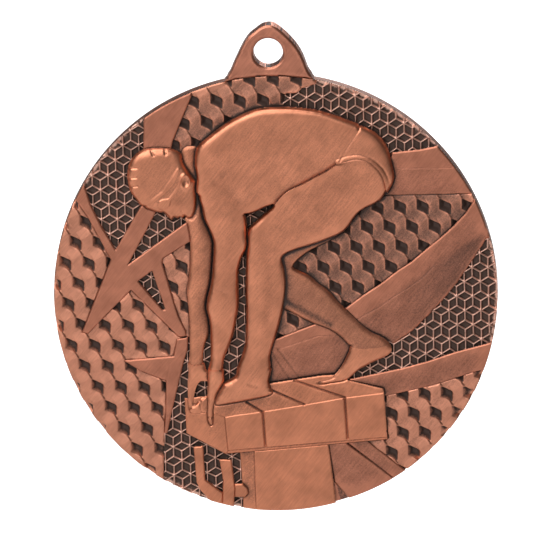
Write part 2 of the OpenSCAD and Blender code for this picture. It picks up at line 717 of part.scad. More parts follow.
medal_blank();
band_behind_head();
star_bands();
spike_bands();
band_upper_right();
band_sweep_right();
band_middle();
band_lower_right();
band_by_pedestal();
band_bottom_right();
cubes_top();
cubes_left();
cubes_by_arm();
cubes_right();
cubes_knee();
cubes_lower_right();
lattice_upper_left();
lattice_neck();
lattice_star_window();
lattice_top_right();
lattice_right();
lattice_lower_left();
lattice_grips();
lattice_between_arms();
lattice_by_shin();
lattice_belly();
swim_cap();
swimmer_face();
goggles();
far_shoulder();
torso();
trunks();
near_arm();
near_hand();
far_arm();
far_hand();
near_leg();
near_foot();
far_leg();
far_foot();
block_top();
block_front();
block_end();
block_lip();
pedestal_front();
pedestal_side();
grip_outer();
grip_inner();
grip_stub();
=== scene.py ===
import math

import bpy
import numpy as np
from mathutils import Matrix, Vector
from mathutils.geometry import tessellate_polygon


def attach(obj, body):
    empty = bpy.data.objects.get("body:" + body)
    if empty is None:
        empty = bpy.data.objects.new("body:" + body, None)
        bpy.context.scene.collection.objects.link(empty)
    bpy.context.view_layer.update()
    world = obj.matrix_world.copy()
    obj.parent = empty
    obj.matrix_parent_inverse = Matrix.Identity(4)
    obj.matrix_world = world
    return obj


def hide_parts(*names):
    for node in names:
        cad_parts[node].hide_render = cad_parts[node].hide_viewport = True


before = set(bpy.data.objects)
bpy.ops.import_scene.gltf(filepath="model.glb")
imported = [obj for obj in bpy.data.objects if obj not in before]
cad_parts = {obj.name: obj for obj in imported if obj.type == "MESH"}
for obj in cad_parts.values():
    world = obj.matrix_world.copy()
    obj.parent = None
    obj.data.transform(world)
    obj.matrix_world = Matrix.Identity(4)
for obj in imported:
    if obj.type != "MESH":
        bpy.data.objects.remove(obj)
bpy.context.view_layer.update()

# ---- The ground of the relief ----
# The medal is one zinc casting. Its front is cut into pieces along the outlines of the CAD parts, and
# each piece is a surface of heights over one square grid, closed by walls and a flat underside.
# Lengths are in mm until a mesh is made, and a height is a distance in front of the recess's floor.
STEP = 0.07
GRID_LEFT, GRID_BOTTOM, GRID_WIDTH, GRID_HEIGHT = -25.4, -25.4, 50.8, 57.0
BLANK_FRONT = 1.4
DISC_R = 25.0
PAST_DISC_R = 25.6
LUG_FOOT = 24.5
OVERLAP = 0.02
grid_x, grid_z = np.meshgrid(
    GRID_LEFT + STEP * np.arange(int(GRID_WIDTH / STEP) + 1),
    GRID_BOTTOM + STEP * np.arange(int(GRID_HEIGHT / STEP) + 1),
)
relief_map = np.zeros(grid_x.shape)
castings = []


def signed_distance(x, z, sides):
    """Distance from each point to the nearest side, positive inside: a point is inside if a ray from
    it to the right crosses an odd number of sides."""
    nearest = np.full(x.shape, np.inf)
    odd = np.zeros(x.shape, bool)
    for x0, z0, x1, z1 in sides:
        ux, uz = x1 - x0, z1 - z0
        t = np.clip(((x - x0) * ux + (z - z0) * uz) / (ux * ux + uz * uz), 0, 1)
        nearest = np.minimum(nearest, (x - x0 - t * ux) ** 2 + (z - z0 - t * uz) ** 2)
        if uz:
            odd ^= ((z0 > z) != (z1 > z)) & (x < x0 + (z - z0) * ux / uz)
    return np.where(odd, 1, -1) * np.sqrt(nearest)


def turn_of(points, triangles):
    """Twice the area of each triangle, above 0 if its corners turn to the left."""
    a, b, c = (points[triangles[:, k]] for k in range(3))
    return (b[:, 0] - a[:, 0]) * (c[:, 1] - a[:, 1]) - (b[:, 1] - a[:, 1]) * (c[:, 0] - a[:, 0])


def outline(*nodes, level=BLANK_FRONT):
    """Rows x0, z0, x1, z1 round the joint outline of some nodes, the inside on the left: those sides
    of the triangles in the plane y = -level that no other triangle, and no other node, meets. On the
    blank's front, corners at the disc's edge are moved out, so that its circle cuts the piece."""
    found = []
    for name in nodes:
        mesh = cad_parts[name].data
        corners = np.empty(len(mesh.vertices) * 3)
        mesh.vertices.foreach_get("co", corners)
        corners = corners.reshape(-1, 3) * 1000
        triangles = np.empty(len(mesh.polygons) * 3, int)
        mesh.polygons.foreach_get("vertices", triangles)
        triangles = triangles.reshape(-1, 3)
        triangles = triangles[(abs(corners[triangles][:, :, 1] + level) < 0.01).all(1)]
        flat, same = np.unique(np.round(corners[:, [0, 2]], 3), axis=0, return_inverse=True)
        triangles = same.reshape(-1)[triangles]
        turn = turn_of(flat, triangles)
        triangles = np.where(turn[:, None] < 0, triangles[:, ::-1], triangles)[turn != 0]
        start, end = triangles.ravel(), np.roll(triangles, -1, axis=1).ravel()
        alone = ~np.isin(start * len(flat) + end, end * len(flat) + start)
        if level == BLANK_FRONT:
            radius = np.hypot(*flat.T)
            on_edge = (radius > DISC_R - 0.1) & (flat[:, 1] < LUG_FOOT)
            flat = flat * np.where(on_edge, PAST_DISC_R / radius, 1)[:, None]
        found.append(np.hstack([flat[start[alone]], flat[end[alone]]]))
    if len(found) == 1:
        return found[0]
    kept = []
    for k, sides in enumerate(found):
        cuts = np.linspace(0, 1, 5)
        first, last = sides[:, None, :2], sides[:, None, 2:]
        starts = first + (last - first) * cuts[None, :-1, None]
        ends = first + (last - first) * cuts[None, 1:, None]
        quarters = np.concatenate([starts, ends], axis=2).reshape(-1, 4)
        run = quarters[:, 2:] - quarters[:, :2]
        run /= np.hypot(*run.T)[:, None]
        middle = (quarters[:, :2] + quarters[:, 2:]).T / 2
        just_outside = middle + 0.03 * np.array([run[:, 1], -run[:, 0]])
        free = np.ones(len(quarters), bool)
        for j, other in enumerate(found):
            if j != k:
                free &= signed_distance(*just_outside, other) < 0
        kept.append(quarters[free])
    return np.vstack(kept)


def cast(node, slot, top, level=BLANK_FRONT, back=BLANK_FRONT):
    """Keeps the piece for one CAD node: top(x, z, d) is its height, or its height and how much more
    bare it is, which on most pieces is painted light and shade, d the distance in from its outline,
    and back the height of its underside. The meshes are made at the end, once the whole relief is known."""
    sides = outline(node, level=level)
    spans = []
    for values, start, count in zip((sides[:, 1::2], sides[:, ::2]), (GRID_BOTTOM, GRID_LEFT), grid_x.shape):
        reach = np.array([(values.min() - start) / STEP - 2, (values.max() - start) / STEP + 3])
        spans.append(slice(*np.clip(reach, 0, count).astype(int)))
    here = tuple(spans)
    x, z = grid_x[here], grid_z[here]
    d = signed_distance(x, z, sides)
    if back == BLANK_FRONT:
        d = np.minimum(d, DISC_R - np.hypot(x, z))
    height = top(x, z, d)
    height, bare_and_painted_light = height if isinstance(height, tuple) else (height, 0.0)
    relief_map[here] = np.where(d > -OVERLAP, np.maximum(relief_map[here], height), relief_map[here])
    item = {"node": node, "slot": slot, "here": here, "d": d + OVERLAP}
    castings.append(item | {"height": height, "bare_and_painted_light": bare_and_painted_light, "back": back})


# ---- Plain bands ----
# Broad bands of bare brushed metal that stand level with the cubes. Several are folded along a line,
# so each has two flats that catch the light differently, and the fold is a fine groove. Painted light
# and shade also lie on them: the flat under a fold is painted darker, and so are the bands at the
# right and bottom, while the star bands at the left are painted lighter.
BAND_TOP = 2.2


def from_line(x, z, points):
    """Distance from each point to an open line through the points."""
    nearest = np.full(x.shape, np.inf)
    for (x0, z0), (x1, z1) in zip(points[:-1], points[1:]):
        ux, uz = x1 - x0, z1 - z0
        t = np.clip(((x - x0) * ux + (z - z0) * uz) / (ux * ux + uz * uz), 0, 1)
        nearest = np.minimum(nearest, np.hypot(x - x0 - t * ux, z - z0 - t * uz))
    return nearest


def groove(x, z, points, width):
    """1 on the line through the points, falling to 0 over the width on each side as a bell does."""
    return np.exp(-((from_line(x, z, points) / width) ** 2))


def left_of(x, z, p, q):
    """Distance to the left of the straight line from p to q, negative to its right."""
    ux, uz = q[0] - p[0], q[1] - p[1]
    return (ux * (z - p[1]) - uz * (x - p[0])) / math.hypot(ux, uz)


def smooth(t):
    """A smooth step from 0 to 1."""
    t = np.clip(t, 0, 1)
    return t * t * (3 - 2 * t)


def edge(d, width=0.16, drop=0.1):
    """The rounded edge of a plain face: it falls by drop over the last width before the outline."""
    return -drop * np.clip(1 - d / width, 0, 1.3) ** 2


def even(value):
    """The same value at every point."""
    return lambda x, z: value


def band(node, fold=even(0.0), bare_and_painted_light=even(0.0), top=BAND_TOP):
    cast(node, "brushed_copper_bands", lambda x, z, d: (top + fold(x, z) + edge(d), bare_and_painted_light(x, z)))


def sweep_fold(x, z):
    """The flat under the fold falls by 0.1 for each mm from it, as far as 4 mm."""
    below = smooth(0.3 - left_of(x, z, SWEEP_CREASE[1], SWEEP_CREASE[6]))
    fall = 0.1 * below * np.clip(from_line(x, z, SWEEP_CREASE), 0, 4)
    return -fall - 0.05 * groove(x, z, SWEEP_CREASE[:7], 0.1)


def sweep_painted_shade(x, z):
    """Painted shade: darker on the flat under the fold, and again towards the edge of the disc."""
    below = smooth(0.6 - left_of(x, z, SWEEP_CREASE[1], SWEEP_CREASE[6]))
    return -0.13 * below - 0.12 * smooth((x - 13) / 8)


def middle_fold(x, z):
    """The flat under the fold falls by 0.07 for each mm, and two more creases run down across it."""
    height = -0.07 * np.maximum(-left_of(x, z, *MIDDLE_CREASES[0][:2]), 0)
    for crease in MIDDLE_CREASES:
        height -= 0.05 * groove(x, z, crease, 0.12)
    return height


SPIKE_CREASE = [(-12.64, -9.67), (-12.03, -7.42)]
SWEEP_CREASE = [
    (6, -5), (9.76, -2.82), (11.61, -1.86), (13.36, -0.63), (14.86, 0.24), (16.62, 1.41), (17.87, 2.69),
    (19.5, 4.6), (21.5, 7.5)
]
MIDDLE_CREASES = [
    [(0.1, -6.4), (4.6, -5.0), (5.9, -5.0)],
    [(-0.6, -6.8), (1.2, -9.9)],
    [(0, -6.3), (2.4, -9.9)],
]
# How much more bare each band is set here is painted light and shade: lighter at the left, darker at the
# right, at the bottom and under the folds.
band("band_behind_head", lambda x, z: -0.025 * left_of(x, z, (-13.4, 17), (-10, 24)))
band("star_bands", bare_and_painted_light=even(0.06))
band(
    "spike_bands",
    lambda x, z: -0.07 * np.clip(-left_of(x, z, *SPIKE_CREASE), 0, 3)
    - 0.04 * groove(x, z, SPIKE_CREASE, 0.1),
)
band(
    "band_upper_right",
    lambda x, z: -0.07 * np.maximum(14.05 - z, 0) - 0.05 * groove(x, z, [(14, 14.1), (20.4, 14)], 0.1),
    lambda x, z: -0.07 * smooth((14.2 - z) / 0.4),
)
band("band_sweep_right", sweep_fold, sweep_painted_shade)
band(
    "band_middle",
    middle_fold,
    lambda x, z: -0.1 * smooth(-left_of(x, z, *MIDDLE_CREASES[0][:2])),
    BAND_TOP - 0.05,
)
band(
    "band_lower_right",
    lambda x, z: -0.05 * np.clip(3 - left_of(x, z, (8, -12.5), (25.8, -9)), 0, 3),
    even(-0.12),
)
band("band_by_pedestal", lambda x, z: -0.08 * np.abs(left_of(x, z, (7.4, -17.7), (12.3, -21.3))), even(-0.1))
band("band_bottom_right", bare_and_painted_light=even(-0.12), top=BAND_TOP - 0.1)

# ---- Fields of stepped cubes ----
# Rows of cubes seen from a corner. The upper and right faces are rubbed bright and meet in a soft
# ridge. The left face of each cube is a pocket, deepest under its upper and right sides, with painted
# shade in it and a painted highlight along the outside of its left and lower sides.
CUBE_TOP = 2.15
RIDGE = [(1.4, -0.75), (2.62, -0.05)]
RIDGE_LENGTH = 1.4
POCKET = [(0.05, -0.03), (0.05, -1.3), (1.39, -1.98), RIDGE[0]]


def from_cells(x, z, corner, u, v, columns, rows):
    """The points measured from the corners of the cells round them. A cell is a step along u by a
    step along v, and columns and rows number the cells counted from the one that holds the point."""
    dx, dz = x - corner[0], z - corner[1]
    area = u[0] * v[1] - u[1] * v[0]
    column, row = np.floor((dx * v[1] - dz * v[0]) / area), np.floor((dz * u[0] - dx * u[1]) / area)
    for i in columns:
        for j in rows:
            yield dx - (column + i) * u[0] - (row + j) * v[0], dz - (column + i) * u[1] - (row + j) * v[1]


def cubes(node, corner, u, v, bare_and_painted_light=0.0):
    """One field. The faces fall from the ridge by 0.15 for each mm across it and by 1.2 for each mm
    past its ends, 0.17 at most. A pocket's floor lies 0.08 below the faces at its left and lower
    sides, and 0.42 deeper from 0.6 mm in."""

    def top(x, z, d):
        hollow, fall = np.full(x.shape, -9.0), np.full(x.shape, 9.0)
        shallow, deep = np.zeros(x.shape), np.zeros(x.shape)
        for qx, qz in from_cells(x, z, corner, u, v, (-1, 0, 1, 2), (-1, 0, 1)):
            left, lower, right, upper = (left_of(qx, qz, POCKET[k - 4], POCKET[k - 3]) for k in range(4))
            inside = np.minimum.reduce([left, lower, right, upper])
            shallow = np.where(inside > hollow, np.minimum(left, lower), shallow)
            deep = np.where(inside > hollow, np.minimum(right, upper), deep)
            hollow = np.maximum(hollow, inside)
            dx, dz = RIDGE[1][0] - RIDGE[0][0], RIDGE[1][1] - RIDGE[0][1]
            along = ((qx - RIDGE[0][0]) * dx + (qz - RIDGE[0][1]) * dz) / math.hypot(dx, dz)
            past = np.maximum(np.maximum(-along, along - RIDGE_LENGTH), 0)
            fall = np.minimum(fall, 0.15 * np.abs(left_of(qx, qz, *RIDGE)) + 1.2 * past)
        face = CUBE_TOP - np.minimum(fall, 0.17)
        floor = face - 0.08 - 0.42 * smooth(shallow / 0.6)
        pocket = smooth(hollow / 0.1 + 0.2)
        # Painted shade in the pocket, darkest by its upper and right sides, and a painted highlight just
        # outside its left and lower sides.
        shade = 0.22 + 0.15 * np.exp(-((deep / 0.2) ** 2))
        painted_edge_highlight = 0.14 * np.exp(-(((hollow + 0.06) / 0.07) ** 2)) * (shallow < deep)
        return face + (floor - face) * pocket + edge(d, 0.14, 0.08), bare_and_painted_light - shade * pocket + painted_edge_highlight

    cast(node, "antique_copper_cubes", top)


# Each field's last value is painted light: the left field lighter, the fields at the top, the knee and the
# right darker.
cubes("cubes_top", (-6.74, 23.34), (2.632, -0.051), (1.467, -2.538), -0.16)
cubes("cubes_left", (-23.99, -4.4), (2.623, -0.127), (1.405, -2.434), 0.08)
cubes("cubes_by_arm", (-11.28, 4.36), (2.596, -0.05), (-1.108, -2.338))
cubes("cubes_right", (9.78, 8.37), (2.546, -0.049), (1.288, -2.334), -0.24)
cubes("cubes_knee", (1.08, -2.1), (2.596, -0.05), (1.288, -2.334), -0.16)
cubes("cubes_lower_right", (13.06, -15.47), (2.496, -0.048), (1.192, -2.269))

# ---- Fields of lattice ----
# Thin ribs that join in star points over a dark floor. Six ribs leave each star, and the ribs of three
# stars meet between them, so that the windows are diamonds.
RIB_TOP, LATTICE_FLOOR = 1.95, 1.5
RIB_WIDTH, STAR_WIDTH = 0.085, 0.2


def lattice(node, corner, u, v):
    """One field. The height over the floor is a bell over the distance to the nearest rib, with a
    bell of 0.08 more at each star. The ribs leave a star along thirds of the cell's diagonals."""
    arms = [((2 * u[0] - v[0]) / 3, (2 * u[1] - v[1]) / 3), ((u[0] + v[0]) / 3, (u[1] + v[1]) / 3)]
    arms.append(((2 * v[0] - u[0]) / 3, (2 * v[1] - u[1]) / 3))

    def top(x, z, d):
        rib, star = np.full(x.shape, 9.0), np.full(x.shape, 9.0)
        for qx, qz in from_cells(x, z, corner, u, v, (0, 1), (0, 1)):
            star = np.minimum(star, np.hypot(qx, qz))
            for ax, az in arms:
                rib = np.minimum(rib, from_line(qx, qz, [(-ax, -az), (ax, az)]))
        ridge = np.exp(-((rib / RIB_WIDTH) ** 2))
        height = LATTICE_FLOOR + (RIB_TOP - LATTICE_FLOOR) * ridge
        return height + 0.08 * np.exp(-((star / STAR_WIDTH) ** 2)), 0.55 * ridge - 0.1

    cast(node, "antique_copper_lattice", top)


for name in ("lattice_upper_left", "lattice_neck", "lattice_star_window"):
    lattice(name, (-18.5, 14.05), (1.8, -0.005), (0.903, -1.702))
for name in (
    "lattice_lower_left", "lattice_grips", "lattice_between_arms", "lattice_by_shin", "lattice_belly"
):
    lattice(name, (-12.11, -17.46), (1.878, 0.104), (0.932, -1.574))
lattice("lattice_top_right", (10.54, 20.82), (1.824, 0.034), (0.889, -1.692))
lattice("lattice_right", (16.73, -4.12), (1.803, -0.036), (0.883, -1.674))

# ---- The starting block ----
# A box seen from its upper left, on a pedestal, with two hand grips under its end. The faces are flat
# and brushed, and seams are cut across the front and the top.
BLOCK_TOP = 2.5
GRIP_TOP = 2.3
FRONT_EDGE = [(-6.15, -14.05), (11.85, -11.7)]
SEAMS = [
    [(-3.66, -12.4), (-1.87, -13.54), (-1.69, -17.66)],
    [(-0.66, -11.16), (2.83, -12.78)],
    [(1.84, -10.05), (7.42, -12.11), (7.6, -16.84)],
]


def block(node, top, shape=even(0.0), drop=0.09, bare_and_painted_light=even(0.0)):
    cast(node, "brushed_copper_block", lambda x, z, d: (top + shape(x, z) + edge(d, 0.14, drop), bare_and_painted_light(x, z)))


def seam_cuts(x, z):
    """Narrow rounded cuts along the seams, 0.22 deep."""
    return sum(-0.22 * groove(x, z, seam, 0.11) for seam in SEAMS)


# How much more bare each face is set here is painted light and shade: the top is darker at the left, back
# from its front edge where the swimmer's feet stand, the fronts of block and pedestal are lighter, and the
# pedestal's side is darker.
block(
    "block_top",
    BLOCK_TOP - 0.03,
    lambda x, z: seam_cuts(x, z) - 0.07 * left_of(x, z, *FRONT_EDGE),
    0.05,
    lambda x, z: -0.1 * smooth((4 - x) / 6) * smooth(left_of(x, z, *FRONT_EDGE) / 0.8),
)
block("block_front", BLOCK_TOP, seam_cuts, 0.05, even(0.06))
block("block_end", BLOCK_TOP - 0.05, lambda x, z: -0.06 * left_of(x, z, (-5.9, -18), FRONT_EDGE[0]))
block("block_lip", BLOCK_TOP - 0.25)
block("pedestal_front", BAND_TOP, bare_and_painted_light=even(0.06))
block("pedestal_side", BAND_TOP - 0.05, lambda x, z: 0.12 * (x + 2.95), 0.05, even(-0.1))
for name in ("grip_outer", "grip_inner", "grip_stub"):
    block(name, GRIP_TOP, drop=0.12)


# ---- The swimmer ----
# The figure crouches on the block, facing left. Its limbs swell out of the ground like a stretched
# skin, the near arm and leg higher than the far ones, and the high places are polished by rubbing.
def curve(points):
    """The line through the points with its corners cut off three times, each at a quarter of the sides."""
    line = np.array(points, float)
    for _ in range(3):
        cuts = np.stack([0.75 * line[:-1] + 0.25 * line[1:], 0.25 * line[:-1] + 0.75 * line[1:]], 1)
        line = np.concatenate([line[:1], cuts.reshape(-1, 2), line[-1:]])
    return line


def swelling(nodes, base, rise, reach=1.1):
    """Height over the joint outline of some nodes: base + rise (1 - exp(-(sqrt(2 u) / reach)^1.5)), where u
    is the stretched skin that solves d2u/dx2 + d2u/dz2 = -1 with u = 0 on the outline. The skin is
    solved on a coarse grid and kept as its slope u / d, d the distance in, which is even up to the
    outline: nearer to it than 0.3 mm the slope is spread from the cells further in."""
    joint = outline(*nodes)
    own = [outline(node) for node in nodes]
    h, near = 0.2, 0.3

    def depth(px, pz):
        inside = np.maximum.reduce([signed_distance(px, pz, sides) for sides in own]) > -0.01
        return np.where(inside, 1, -1) * np.abs(signed_distance(px, pz, joint))

    x0, z0 = joint[:, ::2].min() - 1, joint[:, 1::2].min() - 1
    x, z = np.meshgrid(
        x0 + h * np.arange(int((joint[:, ::2].max() + 1 - x0) / h) + 2),
        z0 + h * np.arange(int((joint[:, 1::2].max() + 1 - z0) / h) + 2),
    )
    d = depth(x, z)
    inside = (d > 0).astype(float)
    u = np.zeros(x.shape)
    for _ in range(1500):
        u[1:-1, 1:-1] = (u[2:, 1:-1] + u[:-2, 1:-1] + u[1:-1, 2:] + u[1:-1, :-2] + h * h) / 4
        u *= inside
    known = d > near
    slope = np.where(known, u / np.maximum(d, near), 0)
    weight = known.astype(float)
    for _ in range(8):
        total, count = np.zeros(x.shape), np.zeros(x.shape)
        for axis in (0, 1):
            for step in (-1, 1):
                total += np.roll(slope * weight, step, axis)
                count += np.roll(weight, step, axis)
        new = (weight == 0) & (count > 0)
        slope = np.where(new, total / np.maximum(count, 1), slope)
        weight = np.where(new, 1.0, weight)

    def height(px, pz):
        fx = np.clip((px - x0) / h, 0, x.shape[1] - 1.01)
        fz = np.clip((pz - z0) / h, 0, x.shape[0] - 1.01)
        i, j = fx.astype(int), fz.astype(int)
        fx, fz = fx - i, fz - j
        lower = slope[j, i] * (1 - fx) + slope[j, i + 1] * fx
        upper = slope[j + 1, i] * (1 - fx) + slope[j + 1, i + 1] * fx
        skin = np.sqrt(2 * (lower * (1 - fz) + upper * fz) * np.maximum(depth(px, pz), 0))
        return base + rise * (1 - np.exp(-((skin / reach) ** 1.5)))

    return height


def beside(x, z, node, width):
    """1 on the outline of a node, fading with the distance from it over the width."""
    return np.exp(-np.abs(signed_distance(x, z, outline(node))) / width)


trunk_skin = swelling(("torso", "trunks", "near_arm", "near_hand", "near_leg"), 2.16, 0.92)
leg_skin = swelling(("trunks", "near_leg", "near_foot", "torso"), 2.16, 0.87)
far_arm_skin = swelling(("far_arm", "far_hand"), 2.05, 0.5)
far_leg_skin = swelling(("far_leg", "far_foot", "near_leg"), 2.1, 0.55)
head_skin = swelling(("swim_cap", "swimmer_face", "goggles"), 2.1, 0.75)
shoulder_skin = swelling(("far_shoulder",), 2.0, 0.4)

# The trunks have a doubled seam at the waist and a stitched hem round the thigh.
WAIST = [(9.27, 19.2), (7.77, 16.35), (7.16, 14.93)]
WAIST_SEAM = [(10.1, 18.89), (8.33, 16.34), (7.73, 15.2)]
HEM = curve([
    (7.5, 15), (8.7, 15.4), (9.95, 15.5), (11.15, 15.05), (12.35, 13.85), (12.8, 12.45), (12.9, 11.3)
])
THIGH_TOP = curve([(-2.9, 7.4), (-1.05, 9.2), (0.95, 11.25), (3.45, 12.7), (5.95, 13.95), (7.35, 14.85)])
RIBS = curve([(-3.7, 10.9), (-2.5, 11.4), (-0.5, 12.5), (1.2, 13.9)])
CALF = curve([(1.28, -1.0), (3.78, -2.4), (6.0, -3.7)])
ANKLE = [(-3.37, -10.18), (-2.39, -10.5)]


def torso_top(x, z, d):
    """The back, the ribs, the mark of the shoulder and the hollow of the armpit, lower by the thigh."""
    height = trunk_skin(x, z) - 0.24 * np.exp(-from_line(x, z, THIGH_TOP) / 0.8)
    height += 0.1 * groove(x, z, [(-6, 16.5), (-3, 17.2), (0.2, 17)], 1.6)
    height -= 0.06 * groove(x, z, RIBS, 0.5)
    height += 0.05 * groove(x, z, [(-7.6, 11.6), (-6.7, 12.7)], 0.3)
    return height - 0.06 * groove(x, z, [(-3.9, 10.7), (-5.2, 13.2), (-5.4, 14.6)], 0.8)


def trunks_top(x, z, d):
    """From the height of the back at the waist to a little over the thigh's at the hem."""
    from_waist, from_hem = from_line(x, z, WAIST), from_line(x, z, HEM)
    mix = smooth(from_waist / (from_waist + from_hem + 1e-6))
    height = trunk_skin(x, z) * (1 - mix) + (leg_skin(x, z) + 0.05) * mix
    height -= 0.07 * groove(x, z, WAIST, 0.1) + 0.05 * groove(x, z, WAIST_SEAM, 0.1)
    return height + 0.05 * np.exp(-((from_hem / 0.3) ** 2)) - 0.06 * np.exp(-(((from_hem - 0.5) / 0.12) ** 2))


def near_arm_top(x, z, d):
    """One with the torso, with a crease in the crook of the elbow."""
    return torso_top(x, z, d) - 0.05 * groove(x, z, [(-6.9, 0.9), (-5.6, 0.3)], 0.4)


def near_hand_top(x, z, d):
    """A step up at the wrist, and the nail of the longest finger."""
    height = trunk_skin(x, z) + 0.15 * smooth((-8.35 - z) / 0.15) * smooth((z + 11) / 2)
    return height - 0.08 * groove(x, z, [(-8.2, -14.05), (-7.45, -14.05)], 0.12)


def near_leg_top(x, z, d):
    """A raised edge along the thigh, a groove under the hem, and the shin."""
    height = leg_skin(x, z) + 0.26 * groove(x, z, THIGH_TOP, 0.6) * smooth((x + 1.5) / 2)
    height -= 0.08 * groove(x, z, HEM, 0.14)
    height += 0.08 * groove(x, z, [(-1.3, 3.5), (-1.5, 0), (-1.9, -5)], 0.7)
    return height - 0.05 * groove(x, z, ANKLE, 0.25)


def far_arm_top(x, z, d):
    """It sinks beside the near arm, and painted shade darkens it all over and more beside the near arm."""
    height = far_arm_skin(x, z) - 0.25 * beside(x, z, "near_arm", 0.4)
    return height, -0.06 - 0.25 * beside(x, z, "near_arm", 0.5)


def far_hand_top(x, z, d):
    """A step up at the wrist, a fold over the fingers and a gap between two of them."""
    height = far_arm_skin(x, z) + 0.12 * smooth((-7.6 - z) / 0.25)
    height += 0.15 * smooth(-left_of(x, z, (-9.65, -12.62), (-8.5, -11.78)) / 0.2)
    return height - 0.1 * groove(x, z, [(-8.9, -12.2), (-8.85, -13.4)], 0.1)


def far_leg_top(x, z, d):
    """It sinks beside the near leg and along the calf, and painted shade darkens it all over and more in both
    places.
    """
    height = far_leg_skin(x, z) - 0.3 * beside(x, z, "near_leg", 0.4) - 0.16 * groove(x, z, CALF, 0.4)
    return height, -0.2 - 0.25 * beside(x, z, "near_leg", 0.5) - 0.12 * groove(x, z, CALF, 0.6)


# The head is a plain one with calm, regular features: a rubber cap with a rolled edge and a few folds,
# goggles whose strap goes over the cap, and an ear below the cap's edge.
CAP_EDGE = [(-14.45, 10.6), (-12.3, 12.1), (-10.5, 14.7)]
CAP_FOLDS = [
    [(-16.3, 14.9), (-15.2, 15.0)],
    [(-16.2, 13.8), (-15.3, 13.9)],
    [(-16, 12.8), (-15.2, 12.9)],
    [(-13.6, 17.1), (-13.3, 16.4)],
    [(-12, 17.1), (-11.9, 16.5)],
]


def cap_top(x, z, d):
    """The swelling of the head with a raised roll at the edge of the cap and a groove for each fold."""
    height = head_skin(x, z) + 0.08 + 0.06 * groove(x, z, CAP_EDGE, 0.18)
    return height - sum(0.1 * groove(x, z, fold, 0.12) for fold in CAP_FOLDS)


def face_top(x, z, d):
    """A bell for the cheek, and for the ear a raised oval ring with a hollow in it."""
    height = head_skin(x, z) + 0.1 * np.exp(-((np.hypot(x + 11.2, z - 10.6) / 0.9) ** 2))
    ear = np.hypot((x + 9.75) / 0.5, (z - 13.3) / 0.75)
    height += 0.12 * np.exp(-(((ear - 1) / 0.3) ** 2)) - 0.12 * np.exp(-((ear / 0.45) ** 2))
    return height - 0.06 * groove(x, z, [(-10.1, 9.3), (-10.3, 9.9)], 0.12)


FIGURE = {
    "torso": torso_top,
    "trunks": trunks_top,
    "near_arm": near_arm_top,
    "near_hand": near_hand_top,
    "near_leg": near_leg_top,
    "near_foot": lambda x, z, d: leg_skin(x, z) - 0.05 * groove(x, z, ANKLE, 0.25),
    "far_arm": far_arm_top,
    "far_hand": far_hand_top,
    "far_leg": far_leg_top,
    "far_foot": lambda x, z, d: far_leg_skin(x, z),
    "swim_cap": cap_top,
    "swimmer_face": face_top,
    "goggles": lambda x, z, d: head_skin(x, z) + 0.1 + edge(d, 0.25, 0.08),
    "far_shoulder": lambda x, z, d: shoulder_skin(x, z),
}
for name, top in FIGURE.items():
    cast(name, "polished_copper_swimmer", top)

# ---- The lug ----
# The flat ear on top that takes the ribbon's ring. It is cast with the disc, its front edge is rounded
# with a slight roll inside it, and it has one round hole.
LUG_FRONT, LUG_BACK = 1.9, -0.3


def lug_top(x, z, d):
    return LUG_FRONT + edge(d, 0.3, 0.14) + 0.03 * np.exp(-(((d - 0.25) / 0.15) ** 2))


cast("medal_blank", "copper_plated_blank", lug_top, level=LUG_FRONT, back=LUG_BACK)

# ---- Copper plating ----
# Bright copper over zinc, blackened and rubbed back: the oxide stays in the hollows, and the high
# places are bare. The wear of each point is its height over the mean height of the ground near it.
PER_MM = 1000.0


def blurred(values, radius):
    """Values weighed over their neighbours by a bell of that radius in mm."""
    fz = np.fft.fftfreq(values.shape[0], STEP)[:, None]
    fx = np.fft.rfftfreq(values.shape[1], STEP)[None, :]
    bell = np.exp(-2 * (math.pi * radius) ** 2 * (fx**2 + fz**2))
    return np.fft.irfft2(np.fft.rfft2(values) * bell, values.shape)


over_near = relief_map - blurred(relief_map, 0.2)
over_wide = relief_map - blurred(relief_map, 0.7)
wear_map = 0.5 + 1.9 * over_near + 0.45 * over_wide


def srgb(code):
    """A hex colour as linear red, green, blue and alpha."""
    values = [int(code[k : k + 2], 16) / 255 for k in (1, 3, 5)]
    return [v / 12.92 if v < 0.04045 else ((v + 0.055) / 1.055) ** 2.4 for v in values] + [1]


def add(tree, kind, settings, links):
    """Adds a node: settings name its properties or its input sockets, and links feed its inputs."""
    made = tree.nodes.new(kind)
    for key, value in settings.items():
        if isinstance(key, str) and hasattr(made, key):
            setattr(made, key, value)
        else:
            made.inputs[key].default_value = value
    for key, source in links.items():
        tree.links.new(source, made.inputs[key])
    return made


def noise(tree, place, scale, detail, roughness):
    settings = {"Scale": scale * PER_MM, "Detail": detail, "Roughness": roughness}
    return add(tree, "ShaderNodeTexNoise", settings, {"Vector": place}).outputs["Fac"]


def ramp(tree, value, settings):
    return add(tree, "ShaderNodeMapRange", settings, {"Value": value}).outputs[0]


def mixed(tree, operation, settings, links):
    return add(tree, "ShaderNodeMath", {"operation": operation} | settings, links).outputs[0]


